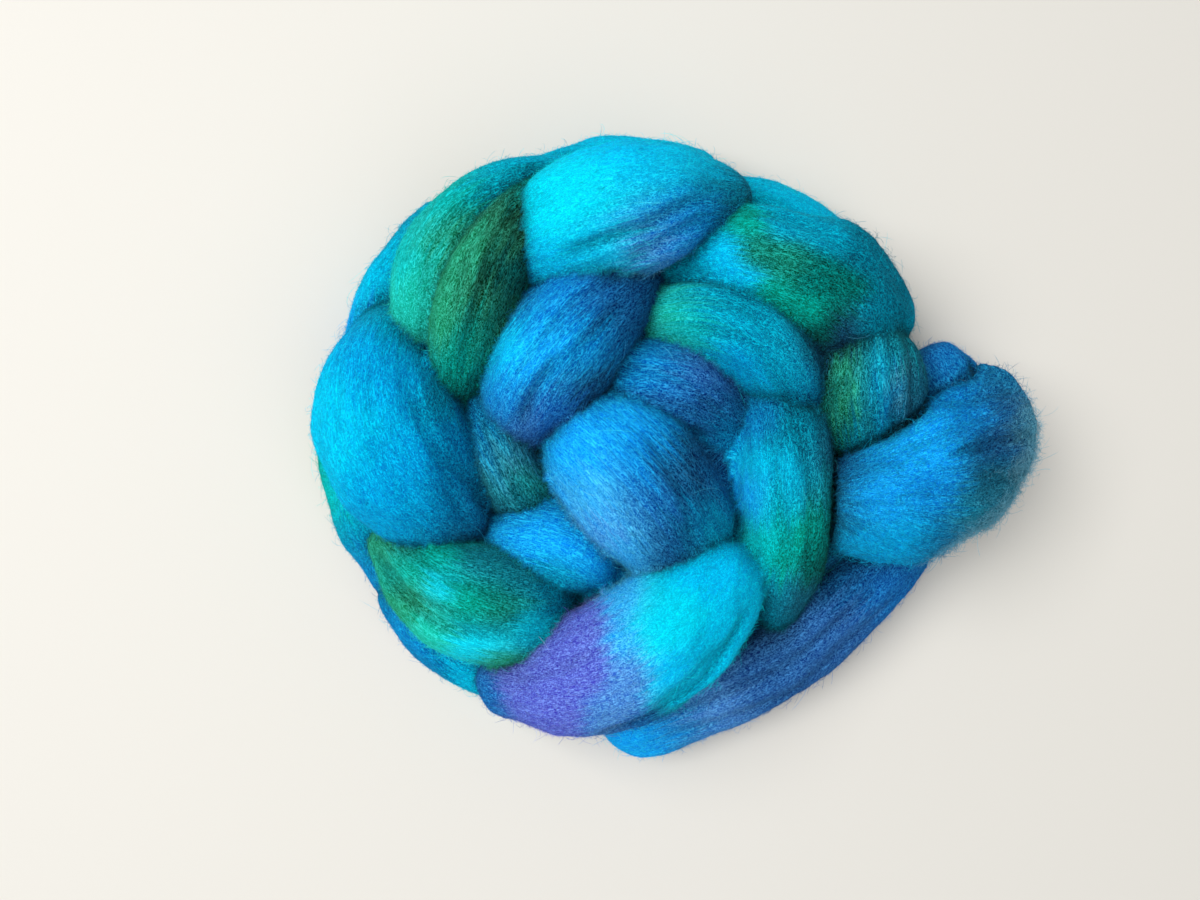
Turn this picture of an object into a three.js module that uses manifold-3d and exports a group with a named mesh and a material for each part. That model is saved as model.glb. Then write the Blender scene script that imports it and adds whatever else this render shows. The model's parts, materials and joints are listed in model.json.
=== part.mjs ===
// A braid of hand-dyed combed wool top: one long soft strand, finger-chained and coiled flat, with its
// loose end laid over the last loop. Millimetres, +Z up, the origin under the middle of the coil.
import * as THREE from "three";
import { mergeVertices } from "three/addons/utils/BufferGeometryUtils.js";
import Module from "manifold-3d";

const wasm = await Module();
wasm.setup();

// Driving sizes
const SEAT_GAP = 0.3; // air between the loose end and the coil that it lies on
const CAP_SHARE = 0.1; // share of a strand's length over which each end rounds off
const WELD = 1e-4; // vertices closer than this are one
const LEG_FACETS = { rings: 10, sides: 14 };
const BACK_FACETS = { rings: 8, sides: 10 };
const CORE_FACETS = { rings: 8, sides: 24 };
const FLOOR_BLOCK = { side: 600, depth: 60 }; // what the flat underside is cut with
const COIL_MIDDLE = [-4, 2];

const UP = new THREE.Vector3(0, 0, 1);

// Each strand's middle line runs from start over crown to end. fat is where along it the strand is plumpest,
// and blunt is the share of its full section left at the start and at the end. Numbers in the names are hours
// on a clock face laid over the coil.

// The legs of the chain's loops round the outer turn, which lie on top and overlap like shingles.
const OUTER_LEGS = [
  { at: "outer_3", start: [66, 43, 30], crown: [66, 18, 35], end: [74, -12, 12],
    width: 37, thick: 38, fat: 0.45, blunt: [0.6, 0.5] },
  { at: "outer_2", start: [-4, 64, 20], crown: [38, 56, 43], end: [73, 38, 28],
    width: 42, thick: 42, fat: 0.62, blunt: [0.5, 0.55] },
  { at: "outer_12", start: [28, 79, 34], crown: [-12, 74, 49], end: [-53, 68, 30],
    width: 41, thick: 42, fat: 0.58, blunt: [0.22, 0.65] },
  { at: "outer_10_rim", start: [-21, 93, 20], crown: [-69, 67, 37], end: [-77, 21, 30],
    width: 25, thick: 36, fat: 0.5, blunt: [0.6, 0.4] },
  { at: "outer_10", start: [-39, 88, 28], crown: [-60, 49, 45], end: [-68, 13, 26],
    width: 28, thick: 40, fat: 0.5, blunt: [0.45, 0.4] },
  { at: "outer_9", start: [-92, 51, 16], crown: [-89, 7, 43], end: [-62, -28, 24],
    width: 48, thick: 44, fat: 0.58, blunt: [0.35, 0.55] },
  { at: "outer_8", start: [-97, -28, 20], crown: [-63, -49, 41], end: [-31, -53, 22],
    width: 38, thick: 40, fat: 0.6, blunt: [0.3, 0.5] },
  { at: "outer_6", start: [-63, -81, 20], crown: [-17, -69, 44], end: [28, -37, 33],
    width: 44, thick: 44, fat: 0.55, blunt: [0.45, 0.6] },
];

// The legs of the inner turn, round the heart of the coil.
const INNER_LEGS = [
  { at: "inner_4", start: [33, 23, 24], crown: [38, -19, 39], end: [40, -66, 20],
    width: 31, thick: 38, fat: 0.5, blunt: [0.6, 0.45] },
  { at: "inner_1", start: [-7, 41, 24], crown: [23, 38, 42], end: [46, 13, 28],
    width: 29, thick: 36, fat: 0.6, blunt: [0.6, 0.6] },
  { at: "inner_11", start: [-3, 60, 28], crown: [-32, 32, 46], end: [-49, 6, 26],
    width: 38, thick: 40, fat: 0.55, blunt: [0.38, 0.55] },
  { at: "inner_9", start: [-64, 18, 24], crown: [-52, -5, 33], end: [-42, -23, 22],
    width: 24, thick: 34, fat: 0.5, blunt: [0.6, 0.6] },
  { at: "inner_7", start: [-54, -30, 22], crown: [-35, -32, 35], end: [-19, -43, 22],
    width: 29, thick: 34, fat: 0.5, blunt: [0.5, 0.6] },
  { at: "heart_top", start: [-23, 23, 24], crown: [2, 20, 37], end: [25, 8, 22],
    width: 27, thick: 34, fat: 0.5, blunt: [0.6, 0.6] },
  { at: "heart", start: [-28, 6, 26], crown: [-8, -13, 44], end: [12, -40, 18],
    width: 46, thick: 42, fat: 0.45, blunt: [0.7, 0.7] },
];

// The strands that show low down at the rim, and the last loop with its far side.
const RIM_STRANDS = [
  { at: "rim_1", start: [2, 86, 15], crown: [45, 76, 15], end: [78, 48, 15],
    width: 26, thick: 30, fat: 0.5, blunt: [0.6, 0.6] },
  { at: "rim_12", start: [20, 90, 15], crown: [-18, 94, 15], end: [-58, 80, 15],
    width: 26, thick: 30, fat: 0.5, blunt: [0.7, 0.7] },
  { at: "rim_10", start: [-70, 80, 15], crown: [-88, 58, 16], end: [-103, 22, 17],
    width: 26, thick: 32, fat: 0.5, blunt: [0.7, 0.7] },
  { at: "rim_9", start: [-108, 18, 15], crown: [-102, -18, 14], end: [-80, -56, 14],
    width: 28, thick: 29, fat: 0.5, blunt: [0.7, 0.7] },
  { at: "rim_8", start: [-92, -42, 14], crown: [-70, -67, 14], end: [-36, -84, 14],
    width: 28, thick: 29, fat: 0.5, blunt: [0.7, 0.7] },
  { at: "last_loop", start: [-21, -97, 15], crown: [42, -67, 16], end: [87, -20, 17],
    width: 35, thick: 33, fat: 0.45, blunt: [0.78, 0.7] },
  { at: "last_loop_far_side", start: [107, -10, 17], crown: [97, 16, 20], end: [74, 39, 16],
    width: 25, thick: 32, fat: 0.6, blunt: [0.7, 0.6] },
];

// The back of the chain: short strands that lie slantwise on the surface under the outer turn.
const BACK = {
  count: 9, reach: [64, 60], height: 15.5, length: 61, slant: 24, first: 10, bow: 6,
  width: 34, thick: 33, fat: 0.5, blunt: [0.6, 0.6],
};

// The wool packed in between the strands, as a flat ball that none of them leaves showing.
const CORE = { reach: [80, 74], half: 20, height: 18 };

const LOOSE_END = {
  at: "loose_end", start: [44, -20, 36], crown: [78, -8, 41], end: [113, 3, 24],
  width: 47, thick: 40, fat: 0.74, blunt: [0.62, 0.88],
};

// The strands of the chain's back, worked out round their ring.
function backStrands() {
  const { count, reach, height, length, slant, first, bow } = BACK;
  return Array.from({ length: count }, (_, i) => {
    const angle = THREE.MathUtils.degToRad(first + (360 * i) / count);
    const heading = angle + Math.PI / 2 - THREE.MathUtils.degToRad(slant);
    const x = COIL_MIDDLE[0] + reach[0] * Math.cos(angle);
    const y = COIL_MIDDLE[1] + reach[1] * Math.sin(angle);
    const half = [(Math.cos(heading) * length) / 2, (Math.sin(heading) * length) / 2];
    return {
      ...BACK,
      start: [x - half[0], y - half[1], height],
      crown: [x + bow * Math.cos(angle), y + bow * Math.sin(angle), height],
      end: [x + half[0], y + half[1], height],
    };
  });
}

// The middle line of a strand, lengthened at both ends by grow.
function middleLine({ start, crown, end }, grow) {
  const [first, middle, last] = [start, crown, end].map((p) => new THREE.Vector3(...p));
  const pull = middle.multiplyScalar(2).addScaledVector(first, -0.5).addScaledVector(last, -0.5);
  first.addScaledVector(pull.clone().sub(first).normalize(), -grow);
  last.addScaledVector(pull.clone().sub(last).normalize(), -grow);
  return new THREE.QuadraticBezierCurve3(first, pull, last);
}

// The share of its full section that a strand has at a place along it, from 0 at its start to 1 at its end.
function plumpness({ fat, blunt }, along) {
  const beforeFat = along < fat;
  const reach = beforeFat ? along / fat : (1 - along) / (1 - fat);
  const left = beforeFat ? blunt[0] : blunt[1];
  return left + (1 - left) * Math.sin((Math.PI / 2) * reach);
}

// How far each end has rounded out, from 0 at the very tip to 1 past the cap.
function capShare(along) {
  const reach = Math.min(1, along / CAP_SHARE, (1 - along) / CAP_SHARE);
  return Math.sqrt(Math.max(0, 1 - (1 - reach) ** 2));
}

// A geometry with only its points left, so that those that meet can be welded.
function pointsOnly(geometry) {
  geometry.deleteAttribute("normal");
  geometry.deleteAttribute("uv");
  return geometry;
}

// A strand as a closed surface: a ball's points laid out along the middle line, grown all round by grow.
function strandGeometry(strand, { rings, sides }, grow = 0) {
  const line = middleLine(strand, grow);
  const ball = pointsOnly(new THREE.SphereGeometry(1, sides, rings));
  const points = ball.getAttribute("position");
  for (let i = 0; i < points.count; i++) {
    const along = THREE.MathUtils.clamp((1 - points.getY(i)) / 2, 0, 1);
    const turn = Math.atan2(points.getZ(i), points.getX(i));
    const aim = line.getTangent(along);
    const side = new THREE.Vector3().crossVectors(UP, aim).normalize();
    const rise = new THREE.Vector3().crossVectors(aim, side);
    const plump = plumpness(strand, along) / 2;
    const cap = capShare(along);
    const place = line
      .getPoint(along)
      .addScaledVector(side, Math.cos(turn) * (strand.width * plump + grow) * cap)
      .addScaledVector(rise, Math.sin(turn) * (strand.thick * plump + grow) * cap);
    points.setXYZ(i, place.x, place.y, place.z);
  }
  return mergeVertices(ball, WELD);
}

// The packed wool as a closed surface.
function coreGeometry(grow = 0) {
  const { rings, sides } = CORE_FACETS;
  const ball = new THREE.SphereGeometry(1, sides, rings)
    .rotateX(Math.PI / 2)
    .scale(CORE.reach[0] + grow, CORE.reach[1] + grow, CORE.half + grow)
    .translate(...COIL_MIDDLE, CORE.height);
  return mergeVertices(pointsOnly(ball), WELD);
}

// A closed geometry as a solid that can be joined and cut.
function solidOf(geometry) {
  return new wasm.Manifold(
    new wasm.Mesh({
      numProp: 3,
      vertProperties: geometry.getAttribute("position").array,
      triVerts: new Uint32Array(geometry.index.array),
    }),
  );
}

// A solid back as a geometry for a mesh.
function geometryOf(solid) {
  const { vertProperties, triVerts } = solid.getMesh();
  const geometry = new THREE.BufferGeometry()
    .setAttribute("position", new THREE.BufferAttribute(vertProperties, 3))
    .setIndex(new THREE.BufferAttribute(triVerts, 1));
  geometry.computeVertexNormals();
  return geometry;
}

// All of the coil's strands and the wool between them, each grown by grow, joined into one solid.
function coilSolid(grow = 0) {
  const legs = [...OUTER_LEGS, ...INNER_LEGS, ...RIM_STRANDS];
  const surfaces = [
    coreGeometry(grow),
    ...legs.map((strand) => strandGeometry(strand, LEG_FACETS, grow)),
    ...backStrands().map((strand) => strandGeometry(strand, BACK_FACETS, grow)),
  ];
  return surfaces.map(solidOf).reduce((whole, next) => whole.add(next));
}

// The outside of a solid, with the hollows shut in between its strands filled.
function outside(solid) {
  return solid.decompose().reduce((most, next) => (next.volume() > most.volume() ? next : most));
}

// What lies under the surface that the coil rests on.
function floorBlock() {
  const { side, depth } = FLOOR_BLOCK;
  const block = new THREE.BoxGeometry(side, side, depth).translate(0, 0, -depth / 2);
  return solidOf(mergeVertices(pointsOnly(block), WELD));
}

function woolMesh(name, solid, color) {
  const wool = new THREE.MeshStandardMaterial({ color, roughness: 0.95, metalness: 0 });
  const mesh = new THREE.Mesh(geometryOf(solid), wool);
  mesh.name = name;
  return mesh;
}

const coil = outside(coilSolid().subtract(floorBlock()));
const looseEnd = outside(solidOf(strandGeometry(LOOSE_END, LEG_FACETS)).subtract(coilSolid(SEAT_GAP)));

const braid = new THREE.Group();
braid.add(woolMesh("braid_coil", coil, "#148fc4"));
braid.add(woolMesh("loose_end", looseEnd, "#1c7fd2"));

export default braid;
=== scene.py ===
"""A braid of hand-dyed combed wool top, chained by hand and coiled flat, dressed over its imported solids.

The tables hold millimetres in the part's frame, with +Z up. Blender's objects are in metres.
"""

from __future__ import annotations

import json
import logging
import math
from dataclasses import dataclass, replace
from enum import Enum
from functools import partial
from typing import Any, Callable, Sequence

import bpy
import numpy as np
from bpy.types import Material, Node, NodeSocket, NodeTree, Object
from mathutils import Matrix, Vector
from mathutils.bvhtree import BVHTree

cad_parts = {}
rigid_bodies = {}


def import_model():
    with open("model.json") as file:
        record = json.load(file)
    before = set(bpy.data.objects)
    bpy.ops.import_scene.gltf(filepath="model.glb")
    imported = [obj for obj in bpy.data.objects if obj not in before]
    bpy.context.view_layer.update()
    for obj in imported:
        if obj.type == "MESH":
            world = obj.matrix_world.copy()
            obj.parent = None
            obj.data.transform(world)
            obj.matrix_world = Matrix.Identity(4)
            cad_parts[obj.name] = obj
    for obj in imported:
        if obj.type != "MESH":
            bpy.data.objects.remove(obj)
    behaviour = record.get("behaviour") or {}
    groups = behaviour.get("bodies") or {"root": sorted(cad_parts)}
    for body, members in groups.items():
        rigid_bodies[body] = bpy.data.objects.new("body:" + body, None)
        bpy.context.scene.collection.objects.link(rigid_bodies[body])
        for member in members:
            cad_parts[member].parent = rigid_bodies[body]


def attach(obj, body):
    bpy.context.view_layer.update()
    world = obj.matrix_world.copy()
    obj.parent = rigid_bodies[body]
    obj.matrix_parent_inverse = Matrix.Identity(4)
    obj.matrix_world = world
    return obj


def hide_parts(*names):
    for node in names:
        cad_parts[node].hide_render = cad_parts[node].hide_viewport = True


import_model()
log = logging.getLogger("wool_braid")

Array = np.ndarray
Pair = tuple[float, float]
Triple = tuple[float, float, float]
Adder = Callable[..., Node]

MM = 0.001
UP = np.array([0.0, 0.0, 1.0])
MIDDLE = (-4.0, 2.0)
MULTIPLY = {"data_type": "RGBA", "blend_type": "MULTIPLY"}


class Dye(Enum):
    """The dyes that the wool was painted with, as they dried. Some dark ones, INK, SPRUCE, FOREST, TARN and
    NAVY, are also dabbed into gaps between strands as painted shade.
    """

    AQUA = "#00D8F0"
    CYAN = "#00BEE6"
    AZURE = "#04AAFF"
    CAPRI = "#00C6F8"
    CERULEAN = "#009CDA"
    SAPPHIRE = "#0286DA"
    SKY = "#2AB0F2"
    BLUE = "#0180CA"
    LAKE = "#00669C"
    COBALT = "#085CB0"
    INDIGO = "#2054A2"
    NAVY = "#033C7A"
    INK = "#04284E"
    VIOLET = "#605ACC"
    PERIWINKLE = "#4E86D6"
    TEAL = "#0092B4"
    PETROL = "#006884"
    LAGOON = "#02707C"
    TURQUOISE = "#00A8C0"
    SEA = "#00B6B0"
    MINT = "#0CC6A8"
    PINE = "#026A50"
    JADE = "#009A7E"
    LEAF = "#149660"
    OLIVE = "#125E36"
    FOREST = "#00564A"
    STEEL = "#2C7894"
    MIST = "#5A98AE"
    TARN = "#044A66"
    SPRUCE = "#003C32"


def linear(code: str) -> Array:
    """Turns an sRGB colour, as #RRGGBB, into linear red, green and blue."""
    srgb = np.array([int(code[i : i + 2], 16) / 255 for i in (1, 3, 5)])
    return np.where(srgb <= 0.04045, srgb / 12.92, ((srgb + 0.055) / 1.055) ** 2.4)


def unit(vectors: Array) -> Array:
    """Scales vectors to length one."""
    return vectors / np.maximum(np.linalg.norm(vectors, axis=-1, keepdims=True), 1e-12)


@dataclass(frozen=True)
class Ripple:
    """A smooth, seeded unevenness in space, from crossing waves of about one wavelength."""

    wavelength: float
    seed: int
    waves: int = 12
    spread: Pair = (0.7, 1.4)
    calm: float = 1.6

    def at(self, points: Array) -> Array:
        """Gives the unevenness at points.

        Args:
            points: places in millimetres, the last axis holding x, y and z.

        Returns:
            Values of about -1 to 1.
        """
        rng = np.random.default_rng(self.seed)
        aims = unit(rng.normal(size=(self.waves, 3))) * rng.uniform(*self.spread, (self.waves, 1))
        phases = rng.uniform(0, 2 * np.pi, self.waves)
        turns = points @ aims.T * (2 * np.pi / self.wavelength) + phases
        return np.sin(turns).sum(axis=-1) / math.sqrt(self.waves / 2) / self.calm


@dataclass(frozen=True)
class Fold:
    """A soft trough pressed into the top of a strand, along a line seen from above.

    ends is how sharply it fades at its two ends, and least the share of its depth left there.
    """

    line: tuple[Pair, ...]
    depth: float
    width: float = 1.9
    ends: float = 5.0
    least: float = 0.15

    def sink(self, places: Array) -> Array:
        """Gives how deep the trough is under plan places.

        Args:
            places: x and y in millimetres.

        Returns:
            Depths in millimetres.
        """
        gap = np.full(len(places), np.inf)
        run = np.zeros(len(places))
        corners = np.array(self.line, float)
        pieces = len(corners) - 1
        for i in range(pieces):
            way = corners[i + 1] - corners[i]
            share = np.clip((places - corners[i]) @ way / (way @ way), 0, 1)
            far = np.linalg.norm(places - corners[i] - share[:, None] * way, axis=1)
            run = np.where(far < gap, (i + share) / pieces, run)
            gap = np.minimum(gap, far)
        fade = np.sqrt(np.clip(np.minimum(run, 1 - run) * self.ends, 0, 1))
        return self.depth * np.exp(-((gap / self.width) ** 2)) * (self.least + (1 - self.least) * fade)


@dataclass(frozen=True)
class Strand:
    """One plump length of the wool: its middle line runs from start over crown to end.

    fat is where along it the strand is plumpest, blunt the share of its section left at its two ends, cap
    the share of its length that rounds off at each end, and hook how far its last part bends aside. dyes
    holds the places that took each dye, seen from above: x, y and, where a dab is larger or smaller than
    most, by how much; a few dark dabs in the gaps between strands are painted shade. stray is how far, in
    degrees, the fibres lie off the strand's line, blend how softly its dyes meet, and bleed how far they run
    along its fibres. A strand with a fan_root is cut square to the Y axis, and its fibres spread from there.
    """

    name: str
    start: Triple
    crown: Triple
    end: Triple
    width: float
    thick: float
    fat: float
    blunt: Pair
    dyes: dict[Dye, list[tuple[float, ...]]]
    folds: Sequence[Fold] = ()
    stray: float = 22.0
    ridges: float = 0.25
    hook: Pair = (0.0, 0.0)
    cap: float = 0.1
    blend: float = 3.2
    bleed: float = 1.0
    fan_root: Triple | None = None

    # Shares of the length: where the hook starts, how far the unevenness fades, and how near an end counts.
    HOOK_FROM = 0.55
    TIP = 0.05
    INSET = 0.004
    # Each swell's wavelength and height, the ridges round the strand and how they wander, and a ball's cuts.
    SWELLS = ((26.0, 0.7), (9.0, 0.15))
    RIDGES_ROUND = 7
    WANDER = (60.0, 3.0)
    BALL = (96, 72)

    def middle(self, along: Array) -> tuple[Array, Array]:
        """Gives the middle line's places and its speed along it.

        Args:
            along: shares of the way from start to end.

        Returns:
            The places and the unscaled directions.
        """
        first, top, last = (np.array(p, float) for p in (self.start, self.crown, self.end))
        pull = 2 * top - (first + last) / 2
        t = np.asarray(along)[:, None]
        rest = 1 - self.HOOK_FROM
        late = np.clip((t - self.HOOK_FROM) / rest, 0, 1)
        aside = np.array([*self.hook, 0.0])
        place = (1 - t) ** 2 * first + 2 * t * (1 - t) * pull + t**2 * last + late**2 * aside
        speed = 2 * (1 - t) * (pull - first) + 2 * t * (last - pull) + 2 * late / rest * aside
        return place, speed

    def axes(self, speed: Array) -> tuple[Array, Array, Array]:
        """Gives the strand's own directions.

        Args:
            speed: unscaled directions along its middle line.

        Returns:
            Its forward, left and upward directions there.
        """
        aim = unit(speed)
        side = unit(np.cross(UP, aim))
        if self.fan_root:
            side = np.tile((0.0, 1.0, 0.0), (len(aim), 1))
        return aim, side, unit(np.cross(aim, side))

    def halves(self, along: Array) -> tuple[Array, Array]:
        """Gives half the strand's width and thickness along it.

        Args:
            along: shares of the way from start to end.

        Returns:
            The half widths and half thicknesses in millimetres.
        """
        before = along < self.fat
        reach = np.where(before, along / self.fat, (1 - along) / (1 - self.fat))
        left = np.where(before, self.blunt[0], self.blunt[1])
        plump = left + (1 - left) * np.sin(np.pi / 2 * reach)
        tip = np.clip(np.minimum(along, 1 - along) / self.cap, 0, 1)
        plump = plump * np.sqrt(1 - (1 - tip) ** 2)
        return self.width / 2 * plump, self.thick / 2 * plump

    def surface(self, along: Array, turn: Array) -> Array:
        """Gives places on the strand's outside, with its folds, ridges and unevenness.

        Args:
            along: shares of the way from start to end.
            turn: angles round the strand, 90 degrees being its crest.

        Returns:
            Places in millimetres.
        """
        place, speed = self.middle(along)
        _, side, rise = self.axes(speed)
        wide, high = self.halves(along)
        cos, sin = np.cos(turn)[:, None], np.sin(turn)[:, None]
        spot = place + side * cos * wide[:, None] + rise * sin * high[:, None]
        out = unit(side * cos * high[:, None] + rise * sin * wide[:, None])
        seed = sum(map(ord, self.name))
        swell = sum(tall * Ripple(wave, seed + i).at(spot) for i, (wave, tall) in enumerate(self.SWELLS))
        wave, sway = self.WANDER
        twist = turn * self.RIDGES_ROUND + sway * Ripple(wave, seed + len(self.SWELLS)).at(spot)
        # A finer set of ridges runs out of step with the first.
        swell += self.ridges * (np.sin(twist) + 0.7 * np.sin(2.3 * twist + 1))
        upper = np.clip(np.sin(turn) * 2 + 0.3, 0, 1)
        for fold in self.folds:
            swell -= fold.sink(spot[:, :2]) * upper
        thin = np.clip(np.minimum(along, 1 - along) / self.TIP, 0, 1)
        return spot + out * (swell * thin)[:, None]

    def locate(self, points: Array) -> tuple[Array, Array, Array]:
        """Finds where points lie on the strand.

        Args:
            points: places in millimetres.

        Returns:
            The share along the strand, the angle round it, and the distance outside it in millimetres.
        """
        steps = np.linspace(0.01, 0.99, 50)
        line, _ = self.middle(steps)
        keep = np.array([1.0, 0.0, 1.0]) if self.fan_root else np.ones(3)
        flat, line = points * keep, line * keep
        far = (flat**2).sum(1)[:, None] - 2 * flat @ line.T + (line**2).sum(1)
        along = steps[far.argmin(axis=1)]
        place, speed = self.middle(along)
        along = along + ((points - place) * speed * keep).sum(1) / (speed**2 * keep).sum(1)
        along = np.clip(along, self.INSET, 1 - self.INSET)
        place, speed = self.middle(along)
        _, side, rise = self.axes(speed)
        wide, high = self.halves(along)
        left, above = ((points - place) * side).sum(1), ((points - place) * rise).sum(1)
        out = np.hypot(left / wide, above / high)
        beyond = np.linalg.norm(points - place, axis=1) - np.hypot(left, above)
        return along, np.arctan2(above, left), (out - 1) * np.sqrt(wide * high) + np.abs(beyond)

    def dye_at(self, places: Array) -> Array:
        """Gives the dye's linear colour at plan places.

        Args:
            places: x and y in millimetres.

        Returns:
            Linear colours, blended between the nearest dyed places.
        """
        dabs = np.array([(*dab, 0)[:3] for group in self.dyes.values() for dab in group], float)
        tints = np.array([linear(dye.value) for dye, group in self.dyes.items() for _ in group])
        far = np.linalg.norm(places[:, None] - dabs[:, :2], axis=2) - dabs[:, 2]
        pull = np.exp(-(far - far.min(axis=1, keepdims=True)) / self.blend)
        return pull @ tints / pull.sum(axis=1, keepdims=True)

    def lay_ball(self) -> Object:
        """Adds a ball and lays its points along the strand.

        Returns:
            The new object, named for the strand.
        """
        ball = add_ball(*self.BALL)
        ball.name = self.name
        points = read_points(ball)
        along = np.clip((1 - points[:, 2]) / 2, 0, 1)
        write_points(ball, self.surface(along, np.arctan2(points[:, 1], points[:, 0])) * MM)
        return ball


def add_ball(segments: int, rings: int) -> Object:
    """Adds a ball of radius one."""
    bpy.ops.mesh.primitive_uv_sphere_add(segments=segments, ring_count=rings, radius=1)
    return bpy.context.object


def read_threes(items: bpy.types.bpy_prop_collection, name: str, kind: type = float) -> Array:
    """Reads three numbers from each of a mesh's points or faces.

    Args:
        items: the points, faces or normals.
        name: Blender's name of the numbers.
        kind: what sort of number they are.

    Returns:
        One row for each item.
    """
    flat = np.empty(len(items) * 3, kind)
    items.foreach_get(name, flat)
    return flat.reshape(-1, 3)


def read_points(piece: Object) -> Array:
    """Reads the places of a mesh's points, in metres."""
    return read_threes(piece.data.vertices, "co")


def write_points(piece: Object, points: Array) -> None:
    """Moves a mesh's points to the given places, in metres."""
    piece.data.vertices.foreach_set("co", points.ravel())
    piece.data.update()


def select_only(*pieces: Object) -> None:
    """Selects these objects alone.

    Args:
        *pieces: the objects, of which the first becomes active.
    """
    bpy.ops.object.select_all(action="DESELECT")
    for piece in pieces:
        piece.select_set(True)
    bpy.context.view_layer.objects.active = pieces[0]


def modify(piece: Object, kind: str, **settings: Any) -> None:
    """Adds a modifier to a piece and applies it.

    Args:
        piece: the object to change.
        kind: Blender's name of the modifier.
        **settings: the modifier's fields.
    """
    select_only(piece)
    modifier = piece.modifiers.new(kind.lower(), kind)
    for name, value in settings.items():
        setattr(modifier, name, value)
    bpy.ops.object.modifier_apply(modifier=modifier.name)


def add_node(tree: NodeTree, kind: str, inputs: dict[Any, Any] | None = None, **settings: Any) -> Node:
    """Adds a node with its settings and links.

    Args:
        tree: the node tree.
        kind: Blender's type name of the node, after ShaderNode.
        inputs: for each input's name or number, a value, or the output or node that feeds it.
        **settings: the node's own fields.

    Returns:
        The new node.
    """
    node = tree.nodes.new("ShaderNode" + kind)
    for name, value in settings.items():
        setattr(node, name, value)
    for name, value in (inputs or {}).items():
        if isinstance(value, Node):
            value = value.outputs[0]
        if isinstance(value, NodeSocket):
            tree.links.new(value, node.inputs[name])
        else:
            node.inputs[name].default_value = value
    return node


def blank_material(name: str) -> Material:
    """Makes a material with no nodes yet.

    Args:
        name: the material's name.

    Returns:
        The material.
    """
    material = bpy.data.materials.new(name)
    material.use_nodes = True
    material.node_tree.nodes.clear()
    return material


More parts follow.
